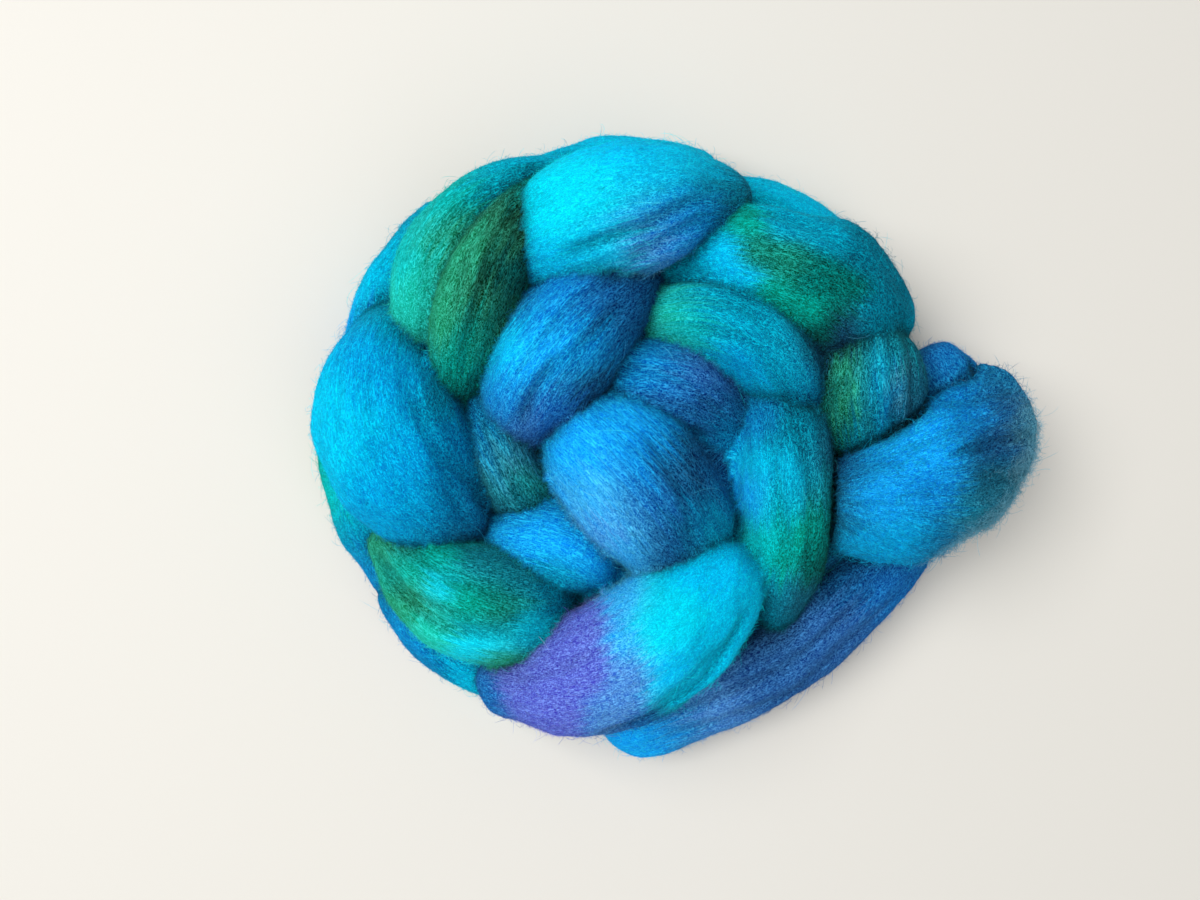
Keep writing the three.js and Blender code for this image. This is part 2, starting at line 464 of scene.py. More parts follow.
@dataclass(frozen=True)
class CombedWool:
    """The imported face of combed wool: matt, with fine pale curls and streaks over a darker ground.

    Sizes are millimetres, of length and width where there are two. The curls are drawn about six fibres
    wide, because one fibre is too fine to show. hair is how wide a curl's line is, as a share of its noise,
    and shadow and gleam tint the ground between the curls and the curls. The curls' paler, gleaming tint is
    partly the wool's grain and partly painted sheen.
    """

    name: str = "combed_wool_top"
    streak: Pair = (1.9, 0.5)
    curl: float = 0.62
    lock: Pair = (26.0, 2.4)
    lane: Pair = (22.0, 0.9)
    hair: float = 0.055
    shadow: Triple = (0.85, 0.85, 0.88)
    gleam: Triple = (0.6, 1.03, 1.11)
    sheen: Triple = (0.1, 0.8, 1.0)

    def lines(self, node: Adder, noise: Node) -> Node:
        """Turns a noise into thin winding lines, where it crosses its middle value.

        Args:
            node: the node helper, bound to the material's tree.
            noise: the noise.

        Returns:
            The node that gives the lines, as 0 to 1.
        """
        off = node("Math", {0: noise, 1: 0.5}, operation="SUBTRACT")
        far = node("Math", {0: off}, operation="ABSOLUTE")
        return node("MapRange", {
            "Value": far, "From Min": self.hair / 4, "From Max": self.hair, "To Min": 1.0, "To Max": 0.0,
        })

    def run(self, node: Adder, lay: Node, size: Pair, detail: float = 1.0) -> Node:
        """Adds a noise that is drawn out along the strand.

        Args:
            node: the node helper, bound to the material's tree.
            lay: the node with the place along and across the strand.
            size: the noise's length and width.
            detail: how fine it goes on.

        Returns:
            The noise node.
        """
        scale = (1 / (size[0] * MM), 1 / (size[1] * MM), 1)
        scaled = node("Mapping", {"Vector": lay.outputs["Vector"], "Scale": scale})
        return node("TexNoise", {"Vector": scaled, "Scale": 1.0, "Detail": detail, "Distortion": 0.45})

    def make(self) -> Material:
        """Makes the material.

        Returns:
            The material, which reads the piece's dye and lay attributes; the dye carries the painted shade.
        """
        material = blank_material(self.name)
        node = partial(add_node, material.node_tree)
        names = ("dye", "dye_ahead", "lay")
        dye, ahead, lay = (node("Attribute", attribute_name=name) for name in names)
        # One dye runs into the next in fine lanes along the strand.
        lane = self.run(node, lay, self.lane)
        lane = node("MapRange", {"Value": lane, "From Min": 0.38, "From Max": 0.62})
        dyed = node("Mix", {0: lane, 6: dye, 7: ahead}, data_type="RGBA").outputs[2]
        # Crimped fibres lie over streaks of straight ones, which gives the face its fine hairy grain; their
        # paler tint is partly painted sheen.
        where = node("TexCoord").outputs["Object"]
        crimp = node("TexNoise", {
            "Vector": where, "Scale": 1 / (self.curl * MM), "Detail": 1.0, "Distortion": 0.8,
        })
        streaks = self.lines(node, self.run(node, lay, self.streak))
        curls = node("Math", {0: self.lines(node, crimp), 1: streaks}, operation="MAXIMUM")
        ground = node("Gamma", {"Color": dyed, "Gamma": 1.4})
        ground = node("Mix", {0: 1.0, 6: ground, 7: (*self.shadow, 1)}, **MULTIPLY).outputs[2]
        # Painted sheen, in part: the curls are paler than the dye and tinted by gleam.
        pale = node("Gamma", {"Color": dyed, "Gamma": 0.54})
        pale = node("Mix", {0: 1.0, 6: pale, 7: (*self.gleam, 1)}, **MULTIPLY).outputs[2]
        face = node("Mix", {0: curls, 6: ground, 7: pale}, data_type="RGBA").outputs[2]
        # Broad locks give the strand its faint long bands, in tone and in relief.
        locks = self.run(node, lay, self.lock, 2.0)
        shade = node("MapRange", {
            "Value": locks, "From Min": 0.3, "From Max": 0.7, "To Min": 0.96, "To Max": 1.06,
        })
        colour = node("Mix", {0: 1.0, 6: face, 7: shade}, **MULTIPLY).outputs[2]
        wrinkle = node("Bump", {"Height": locks, "Strength": 0.45, "Distance": 1.0 * MM})
        bump = node("Bump", {"Height": curls, "Strength": 0.5, "Distance": 0.25 * MM, "Normal": wrinkle})
        wool = node("BsdfPrincipled", {
            "Base Color": colour, "Normal": bump, "Roughness": 0.95, "Specular IOR Level": 0.04,
            "Sheen Weight": 0.02, "Sheen Roughness": 0.5, "Sheen Tint": (*self.sheen, 1),
        })
        node("OutputMaterial", {"Surface": wool})
        return material


@dataclass(frozen=True)
class LooseFibre:
    """Single wool fibres on the face of the strand: a soft gleam, each a little lighter or darker."""

    name: str = "loose_wool_fibre"
    mottle: float = 2.5
    sheen: Triple = (0.4, 0.9, 1.0)

    def make(self) -> Material:
        """Makes the material.

        Returns:
            The material, which reads the piece's dye attribute, with the body's painted shade and the fibres'
            partly painted sheen in it.
        """
        material = blank_material(self.name)
        node = partial(add_node, material.node_tree)
        dye = node("Attribute", attribute_name="dye")
        where = node("TexCoord").outputs["Object"]
        # The tone changes along a fibre, which gives its gleam some life.
        mottle = node("TexNoise", {"Vector": where, "Scale": 1 / (self.mottle * MM), "Detail": 1.0})
        tone = node("MapRange", {
            "Value": mottle, "From Min": 0.3, "From Max": 0.7, "To Min": 0.85, "To Max": 1.1,
        })
        colour = node("Mix", {0: 1.0, 6: dye, 7: tone}, **MULTIPLY).outputs[2]
        wool = node("BsdfPrincipled", {
            "Base Color": colour, "Roughness": 0.8, "Specular IOR Level": 0.08,
            "Sheen Weight": 0.03, "Sheen Roughness": 0.4, "Sheen Tint": (*self.sheen, 1),
        })
        node("OutputMaterial", {"Surface": wool})
        return material


@dataclass
class WoolBody:
    """A fused run of strands, with the dye and the fibres' lie on every point of its face.

    Lengths are millimetres. Where two strands meet, the wool is drawn in by pinch and darkened with painted
    shade by crease, and where three meet it is darkened again with painted shade by pit, each within its
    reach. fold_draw and fold_shade do that for the folds.
    """

    name: str
    node: str
    slot: str
    strands: Sequence[Strand]
    voxel: float
    pinch: float = 1.3
    pinch_reach: float = 1.8
    crease: float = 0.8
    crease_reach: float = 2.6
    pit: float = 0.85
    pit_reach: float = 4.0
    fold_draw: float = 0.35
    fold_shade: float = 0.15
    fold_darkest: float = 0.55
    piece: Object | None = None
    owner: Array | None = None
    aims: Array | None = None
    painted_shade: Array | None = None

    # Heights above which folds darken the wool with painted shade and gaps draw it in.
    FOLDS_FROM = 12.0
    GAPS_FROM = 3.0
    # How far dyes run along the fibres, each way and lane by lane. Lanes are long, and differ by strand.
    DYE_STEP = 3.5
    LANE_STEP = 3.0
    LANES = Ripple(5.0, 41)
    LANE_SQUEEZE = (0.12, 1.0, 0.003)
    # A fan's width for each radian, how its height adds to it, and how far apart two strands' patterns lie.
    FAN_WIDTH = 60.0
    FAN_DROP = 0.3
    APART = 7000.0

    def fuse(self, balls: list[Object]) -> Object:
        """Joins laid balls into one even, closed surface.

        Args:
            balls: the strands' objects.

        Returns:
            The joined object.
        """
        select_only(*balls)
        if len(balls) > 1:
            bpy.ops.object.join()
        body = bpy.context.object
        body.name = self.name
        body.data.name = self.name
        modify(body, "REMESH", mode="VOXEL", voxel_size=self.voxel * MM)
        modify(body, "SMOOTH", factor=0.5, iterations=2)
        return body

    def lie(self, others: Sequence[Strand]) -> None:
        """Works out which strand each point belongs to, and stores its dye, darkened with painted shade, and
        its lay on the mesh.

        Args:
            others: the strands of the body beside this one, which add painted shade where they touch.
        """
        points = read_points(self.piece) / MM
        shares, angles, gaps = np.array([strand.locate(points) for strand in self.strands]).swapaxes(0, 1)
        self.owner = gaps.argmin(axis=0)
        along, turn = (np.take_along_axis(table, self.owner[None], axis=0)[0] for table in (shares, angles))
        beside = np.array([strand.locate(points)[2] for strand in others])
        _, second, third = np.sort(np.maximum(np.vstack([gaps, beside]), 0), axis=0)[:3]
        self.aims, lay = np.zeros((2, len(points), 3))
        sunk = np.zeros(len(points))
        for i, strand in enumerate(self.strands):
            mine = self.owner == i
            if not mine.any():
                continue
            for fold in strand.folds:
                sunk[mine] += fold.sink(points[mine, :2]) * (points[mine, 2] > self.FOLDS_FROM)
            _, speed = strand.middle(along[mine])
            if strand.fan_root:
                spread = points[mine] - strand.fan_root
                self.aims[mine] = unit(spread * (1, 1, 0))
                run = np.hypot(spread[:, 0], spread[:, 1])
                across = np.arctan2(spread[:, 1], spread[:, 0]) * self.FAN_WIDTH
                across += spread[:, 2] * self.FAN_DROP
            else:
                self.aims[mine] = strand.axes(speed)[0]
                run = along[mine] * np.linalg.norm(speed, axis=1)
                across = (turn[mine] + np.pi / 2) % (2 * np.pi) * math.sqrt(strand.width * strand.thick) / 2
            lay[mine] = np.column_stack([run, across, np.full(mine.sum(), self.APART * i)])
        self.deepen(points, second, sunk)
        # Painted shade: darker where two strands meet, darker again where three meet, and along the folds.
        self.painted_shade = 1 - self.crease * np.exp(-second / self.crease_reach)
        self.painted_shade *= 1 - self.pit * np.exp(-third / self.pit_reach)
        self.painted_shade *= 1 - np.minimum(self.fold_shade * sunk, self.fold_darkest)
        bleed = np.array([strand.bleed for strand in self.strands])[self.owner]
        shift = self.LANE_STEP * self.LANES.at(lay * self.LANE_SQUEEZE)
        # The dye is stored with the painted shade multiplied in.
        for name, step in (("dye", -self.DYE_STEP), ("dye_ahead", self.DYE_STEP)):
            drawn = points + self.aims * (bleed * (shift + step))[:, None]
            tint = self.dye(self.owner, drawn) * self.painted_shade[:, None]
            self.store(name, "FLOAT_COLOR", np.column_stack([tint, np.ones(len(tint))]))
        self.store("lay", "FLOAT_VECTOR", lay * MM)

    def deepen(self, points: Array, second: Array, sunk: Array) -> None:
        """Draws the wool in where two strands meet and along the folds.

        Args:
            points: places on the face in millimetres.
            second: how far each lies from the strand next to its own.
            sunk: how deep its strand's folds are there.
        """
        normals = read_threes(self.piece.data.vertex_normals, "vector")
        gap = np.exp(-((second / self.pinch_reach) ** 2)) * (points[:, 2] > self.GAPS_FROM)
        deep = self.pinch * gap + self.fold_draw * sunk
        write_points(self.piece, (points - normals * deep[:, None]) * MM)

    def dye(self, owner: Array, points: Array) -> Array:
        """Gives the dye at points of named strands.

        Args:
            owner: the strands' numbers.
            points: places in millimetres.

        Returns:
            Linear colours.
        """
        tint = np.zeros((len(points), 3))
        for i, strand in enumerate(self.strands):
            mine = owner == i
            if mine.any():
                tint[mine] = strand.dye_at(points[mine, :2])
        return tint

    def store(self, name: str, kind: str, values: Array) -> None:
        """Stores a value for each point of the mesh under a name."""
        attribute = self.piece.data.attributes.new(name, kind, "POINT")
        attribute.data.foreach_set("color" if kind == "FLOAT_COLOR" else "vector", values.ravel())

    def dress(self, finish: CombedWool) -> None:
        """Gives the piece its finish and its place in the frame.

        Args:
            finish: what the wool's face is like.
        """
        self.piece.data.materials.clear()
        self.piece.data.materials.append(finish.make())
        select_only(self.piece)
        bpy.ops.object.shade_smooth()
        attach(self.piece, "root")
        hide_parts(self.node)
        log.info("%s: %d points", self.name, len(self.piece.data.vertices))


@dataclass
class BraidCoil(WoolBody):
    """The coiled chain of loops, with the wool packed between them."""

    core_half: Triple = (80.0, 74.0, 20.0)
    core_height: float = 18.0
    core_cuts: tuple[int, int] = (64, 32)
    table_gap: float = 0.05

    def build(self) -> None:
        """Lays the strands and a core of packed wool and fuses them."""
        balls = [strand.lay_ball() for strand in self.strands]
        core = add_ball(*self.core_cuts)
        write_points(core, (read_points(core) * self.core_half + (*MIDDLE, self.core_height)) * MM)
        self.piece = self.fuse([*balls, core])

    def settle(self) -> None:
        """Presses the coil flat where it lies on the table."""
        points = read_points(self.piece)
        points[:, 2] = np.maximum(points[:, 2], self.table_gap * MM)
        write_points(self.piece, points)


@dataclass
class LooseEnd(WoolBody):
    """The frayed end of the strand, laid over the last loop."""

    clear: float = 0.3

    def build(self, coil: Object) -> None:
        """Lays the end and hollows it where the coil carries it.

        Args:
            coil: the fused coil.
        """
        self.piece = self.fuse([strand.lay_ball() for strand in self.strands])
        select_only(coil)
        bpy.ops.object.duplicate()
        cutter = bpy.context.object
        modify(cutter, "DISPLACE", strength=self.clear * MM, mid_level=0.0)
        modify(self.piece, "BOOLEAN", operation="DIFFERENCE", object=cutter, solver="MANIFOLD")
        bpy.data.objects.remove(cutter)
        self.keep_outer()

    def keep_outer(self) -> None:
        """Keeps the part of the end that lies outside the coil, and drops scraps shut in between legs."""
        tip = read_points(self.piece)[:, 0].argmax()
        select_only(self.piece)
        bpy.ops.object.mode_set(mode="EDIT")
        bpy.ops.mesh.select_all(action="DESELECT")
        bpy.ops.object.mode_set(mode="OBJECT")
        self.piece.data.vertices[tip].select = True
        bpy.ops.object.mode_set(mode="EDIT")
        bpy.ops.mesh.select_linked()
        bpy.ops.mesh.select_all(action="INVERT")
        bpy.ops.mesh.delete(type="VERT")
        bpy.ops.object.mode_set(mode="OBJECT")


@dataclass(frozen=True)
class FibreCoat:
    """Many single fibres that lie on, or stand off, the face of a wool body. Lengths are millimetres.

    lift is how high the middle of a lying fibre goes, and stand how steeply, in degrees, a standing one
    leaves the wool. wild is the share that lies any way, and light and pale are how far a fibre is lighter
    and paler than its dye, which is partly random tone and partly painted sheen. An edge coat grows at the
    outline alone, and one with a toward on the side that faces there. fade is the colour that the fibres go
    to where they stick out.
    """

    name: str
    count: int
    length: Pair
    thick: float
    rings: int
    seed: int
    lift: Pair = (0.1, 0.4)
    stand: Pair = (0.0, 0.0)
    curl: float = 0.12
    wild: float = 0.15
    light: Pair = (0.75, 1.5)
    pale: Pair = (0.1, 0.42)
    edge: bool = False
    toward: Triple | None = None
    fade: Triple | None = None

    # The colour: how far along the strand it is drawn from, its tone, its lightest, and the share that fades.
    DRAWN = 2.5
    TONE = (0.8, 0.95, 0.95)
    LIGHTEST = 0.95
    FADED = 0.6
    # The line: how deep its root and its tips are sunk, how it droops and sweeps, and its gap to the table.
    ROOT = 0.2
    TIPS = 0.06
    DROOP = (0.2, 1.9)
    SWEEP = 5.0
    TABLE_GAP = 0.15
    # Where they root: the share on upright faces, how it changes with their tilt, and the least; how steep
    # the outline's faces are; how squarely a side has to face; and the heights above which each coat grows.
    LEVEL = (0.75, 0.5, 0.12)
    STEEP = 0.35
    SQUARELY = (0.6, 4.0)
    FACE_FROM = 0.8
    EDGE_FROM = 4.0
    TIP_FROM = 14.0
    # How evenly thick the fibres are, and the margin of each one's cell on the map.
    EVEN = (0.7, 1.3)
    MARGIN = 0.06

    def grow(self, body: WoolBody) -> Object:
        """Grows the fibres on a body.

        Args:
            body: the fused wool that carries them.

        Returns:
            One mesh object with all the fibres.
        """
        rng = np.random.default_rng(self.seed)
        mesh = body.piece.data
        mesh.calc_loop_triangles()
        corners = read_threes(mesh.loop_triangles, "vertices", np.int32)
        points = read_points(body.piece) / MM
        normals = read_threes(mesh.vertex_normals, "vector")
        first, second, third = (points[corners[:, k]] for k in range(3))
        faces = np.cross(second - first, third - first)
        area = np.linalg.norm(faces, axis=1)
        level = faces[:, 2] / np.maximum(area, 1e-9)
        high = points[corners].mean(axis=1)[:, 2]
        # Faces that look up carry most fibres, and the underside, pressed flat, has next to none.
        even, slope, least = self.LEVEL
        share = area * np.clip(even + slope * level, least, 1) * (high > self.FACE_FROM)
        if self.edge:
            share = area * np.exp(-((level / self.STEEP) ** 2)) * (high > self.EDGE_FROM)
        if self.toward:
            facing = normals[corners[:, 0]] @ np.array(self.toward)
            least, rise = self.SQUARELY
            share = share * np.clip((facing - least) * rise, 0, 1) * (high > self.TIP_FROM)
        chosen = rng.choice(len(corners), self.count, p=share / share.sum())
        mix = rng.dirichlet((1, 1, 1), self.count)
        root = (points[corners[chosen]] * mix[:, :, None]).sum(axis=1)
        out = unit((normals[corners[chosen]] * mix[:, :, None]).sum(axis=1))
        corner = corners[chosen, 0]
        owner, aim = body.owner[corner], body.aims[corner]
        stray = np.array([strand.stray for strand in body.strands])[owner]
        angle = np.radians(rng.normal(0, 1, self.count) * stray)
        angle = np.where(rng.random(self.count) < self.wild, rng.uniform(-np.pi, np.pi, self.count), angle)
        angle += np.where(rng.random(self.count) < 0.5, np.pi, 0)
        ahead = unit(aim - out * (aim * out).sum(axis=1, keepdims=True))
        across = np.cross(out, ahead)
        way = ahead * np.cos(angle)[:, None] + across * np.sin(angle)[:, None]
        bend = np.cross(out, way)
        long = rng.uniform(*self.length, self.count)
        paths = self.paths(body, rng, root, out, way, bend, long)
        drawn = root + aim * rng.normal(0, self.DRAWN, self.count)[:, None]
        # Each fibre is lighter and paler than its dye: partly random tone, partly painted sheen.
        tint = body.dye(owner, drawn) ** (1 - rng.uniform(*self.pale, (self.count, 1))) * self.TONE
        tint = np.minimum(tint * rng.uniform(*self.light, (self.count, 1)), self.LIGHTEST)
        if self.fade:
            tint = tint * (1 - self.FADED) + np.array(self.fade) * self.FADED
        # Painted shade: each fibre darkens with the body where strands meet and along the folds.
        tint *= body.painted_shade[corner][:, None]
        return self.mesh(paths, bend, tint, rng)

    def paths(self, body: WoolBody, rng: np.random.Generator, root: Array, out: Array,
              way: Array, bend: Array, long: Array) -> Array:
        """Works out the line of each fibre.

        Args:
            body: the fused wool that carries the fibres.
            rng: the source of the fibres' unevenness.
            root: the place of each fibre on the wool.
            out: the way off the wool there.
            way: the way that the fibre heads.
            bend: the way that it curls.
            long: its length.

        Returns:
            For each fibre, its places from tip to tip in millimetres.
        """
        steps = np.linspace(-0.5, 0.5, self.rings + 2)
        paths = np.zeros((self.count, len(steps), 3))
        rise = np.radians(rng.uniform(*self.stand, self.count))
        sweep = rng.normal(0, self.curl * self.SWEEP, self.count)
        if self.stand[1] > 0:
            droop = rng.uniform(*self.DROOP, self.count)
            paths[:, 0] = root - out * self.ROOT
            for j in range(1, len(steps)):
                gone = (j - 0.5) / (len(steps) - 1)
                tilt, swing = (rise * (1 - droop * gone))[:, None], (sweep * gone)[:, None]
                heading = out * np.sin(tilt) + (way * np.cos(swing) + bend * np.sin(swing)) * np.cos(tilt)
                paths[:, j] = paths[:, j - 1] + heading * (long / (len(steps) - 1))[:, None]
        else:
            lift = rng.uniform(*self.lift, self.count)
            curl = rng.normal(0, self.curl, self.count) * long
            faces = [list(face.vertices) for face in body.piece.data.polygons]
            tree = BVHTree.FromPolygons(read_points(body.piece).tolist(), faces)
            for j, step in enumerate(steps):
                side = curl * (1 - 4 * step**2)
                guess = root + way * (step * long)[:, None] + bend * side[:, None]
                height = lift * (1 - 2 * abs(step)) - self.TIPS
                for i, spot in enumerate(guess * MM):
                    near, normal, _, _ = tree.find_nearest(Vector(spot))
                    paths[i, j] = np.array(near) / MM + np.array(normal) * height[i]
        paths[:, :, 2] = np.maximum(paths[:, :, 2], self.TABLE_GAP)
        return paths

    def mesh(self, paths: Array, bend: Array, tint: Array, rng: np.random.Generator) -> Object:
        """Makes slim three-sided spindles along the fibres' lines.

        Args:
            paths: each fibre's places in millimetres.
            bend: a way across each fibre.
            tint: each fibre's linear colour.
            rng: the source of the fibres' unevenness.

        Returns:
            The mesh object.
        """
        count, places = paths.shape[:2]
        rings = places - 2
        slim = self.thick / 2 * rng.uniform(*self.EVEN, count)
        points = np.zeros((count, 2 + 3 * rings, 3))
        points[:, 0], points[:, 1] = paths[:, 0], paths[:, -1]
        for j in range(rings):
            ahead = unit(paths[:, j + 2] - paths[:, j])
            left = unit(np.cross(ahead, np.cross(bend, ahead)))
            over = np.cross(ahead, left)
            for k in range(3):
                turn = 2 * math.pi * k / 3
                points[:, 2 + 3 * j + k] = paths[:, j + 1] + slim[:, None] * (
                    left * math.cos(turn) + over * math.sin(turn))
        # Each face corner is a third of a turn and a ring, the two tips being rings of a single point.
        spots = []
        for k in range(3):
            spots.append(((k + 0.5, 0), (k + 1, 1), (k, 1)))
            for j in range(1, rings):
                spots += [((k, j), (k + 1, j), (k + 1, j + 1)), ((k, j), (k + 1, j + 1), (k, j + 1))]
            spots.append(((k + 0.5, rings + 1), (k, rings), (k + 1, rings)))
        third, ring = np.moveaxis(np.array(spots), 2, 0)
        pattern = np.select([ring == 0, ring > rings], [0, 1], 3 * ring - 1 + third % 3).astype(np.int32)
        size = points.shape[1]
        corners = (pattern[None] + (np.arange(count, dtype=np.int32) * size)[:, None, None]).reshape(-1, 3)
        mesh = bpy.data.meshes.new(self.name)
        mesh.vertices.add(count * size)
        mesh.vertices.foreach_set("co", (points * MM).ravel())
        mesh.loops.add(corners.size)
        mesh.loops.foreach_set("vertex_index", corners.ravel())
        mesh.polygons.add(len(corners))
        mesh.polygons.foreach_set("loop_start", np.arange(0, corners.size, 3, dtype=np.int32))
        mesh.update(calc_edges=True)
        mesh.polygons.foreach_set("use_smooth", np.ones(len(corners), bool))
        # The stored dye carries the painted shade and the partly painted sheen.
        colour = np.repeat(np.column_stack([tint, np.ones(count)]), size, axis=0)
        mesh.attributes.new("dye", "FLOAT_COLOR", "POINT").data.foreach_set("color", colour.ravel())
        cells = self.chart(np.array(spots), tint)
        mesh.uv_layers.new(name="OFBake").uv.foreach_set("vector", cells.ravel())
        piece = bpy.data.objects.new(self.name, mesh)
        bpy.context.scene.collection.objects.link(piece)
        return piece

    def chart(self, spots: Array, tint: Array) -> Array:
        """Lays each fibre's faces in a small cell of the map, beside fibres of nearly its colour.

        Args:
            spots: the places of one fibre's face corners, in thirds of a turn and in rings.
            tint: each fibre's linear colour.

        Returns:
            The places of all face corners on the map.
        """
        count = len(tint)
        side = math.ceil(math.sqrt(count))
        column = np.argsort(np.argsort(tint[:, 1] / (tint[:, 1] + tint[:, 2]))) // side
        row = np.zeros(count, int)
        for i in range(column.max() + 1):
            mine = np.flatnonzero(column == i)
            row[mine] = np.argsort(np.argsort(tint[mine].sum(axis=1)))
        inside = self.MARGIN + (1 - 2 * self.MARGIN) * spots / (3, self.rings + 1)
        return (np.column_stack([column, row])[:, None, None] + inside[None]) / side

    def lay_on(self, body: WoolBody, material: Material) -> None:
        """Grows the fibres on a body, dresses them and puts them in the frame.

        Args:
            body: the fused wool that carries them.
            material: what the fibres are like.
        """
        piece = self.grow(body)
        piece.data.materials.append(material)
        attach(piece, "root")
        log.info("%s: %d fibres, %d triangles", self.name, self.count, len(piece.data.polygons))


@dataclass(frozen=True)
class Lamp:
    """A square soft light that faces the coil. Lengths are millimetres, and its power is in watts."""

    name: str
    place: Triple
    side: float
    power: float

    def hang(self) -> None:
        """Hangs the lamp in the scene."""
        data = bpy.data.lights.new(self.name, "AREA")
        data.energy, data.size = self.power, self.side * MM
        lamp = bpy.data.objects.new(self.name, data)
        lamp.location = Vector(self.place) * MM
        lamp.rotation_euler = (-lamp.location).to_track_quat("-Z", "Y").to_euler()
        bpy.context.scene.collection.objects.link(lamp)


@dataclass(frozen=True)
class Studio:
    """A pale floor, soft light from the upper left, and the camera straight above the coil."""

    eye: Triple = (-21.0, -1.0, 332.0)
    focal: float = 906.0
    image_width: int = 1200
    floor_side: float = 6000.0
    floor_colour: str = "#DAD6CE"
    lamps: tuple[Lamp, ...] = (Lamp("window", (-690, 263, 1250), 980, 21.2),
                               Lamp("bounce", (480, -670, 1280), 1280, 5.6))
    sky_colour: Triple = (0.93, 0.97, 1.0)
    sky_strength: float = 0.33

    def build(self) -> None:
        """Makes the floor, lights, sky and camera."""
        self.floor()
        for lamp in self.lamps:
            lamp.hang()
        self.sky()
        self.camera()

    def floor(self) -> None:
        """Lays the floor, of matt paper that shows the coil's soft shadow."""
        bpy.ops.object.select_all(action="DESELECT")
        bpy.ops.mesh.primitive_plane_add(size=self.floor_side * MM)
        floor = bpy.context.object
        floor.name = "floor"
        material = bpy.data.materials.new("matt_paper_floor")
        material.use_nodes = True
        shader = material.node_tree.nodes["Principled BSDF"]
        shader.inputs["Base Color"].default_value = (*linear(self.floor_colour), 1)
        shader.inputs["Roughness"].default_value = 0.9
        floor.data.materials.append(material)

    def sky(self) -> None:
        """Fills the shadows with an even pale light."""
        world = bpy.data.worlds.new("pale_room")
        world.use_nodes = True
        shader = world.node_tree.nodes["Background"]
        shader.inputs["Color"].default_value = (*self.sky_colour, 1)
        shader.inputs["Strength"].default_value = self.sky_strength
        bpy.context.scene.world = world

    def camera(self) -> None:
        """Puts the camera above the coil and sets how colours are shown."""
        data = bpy.data.cameras.new("overhead")
        data.sensor_width = 36.0
        data.lens = self.focal / self.image_width * data.sensor_width
        data.clip_start = 0.01
        camera = bpy.data.objects.new("overhead", data)
        camera.location = Vector(self.eye) * MM
        bpy.context.scene.collection.objects.link(camera)
        bpy.context.scene.camera = camera
        bpy.context.scene.view_settings.view_transform = "Standard"


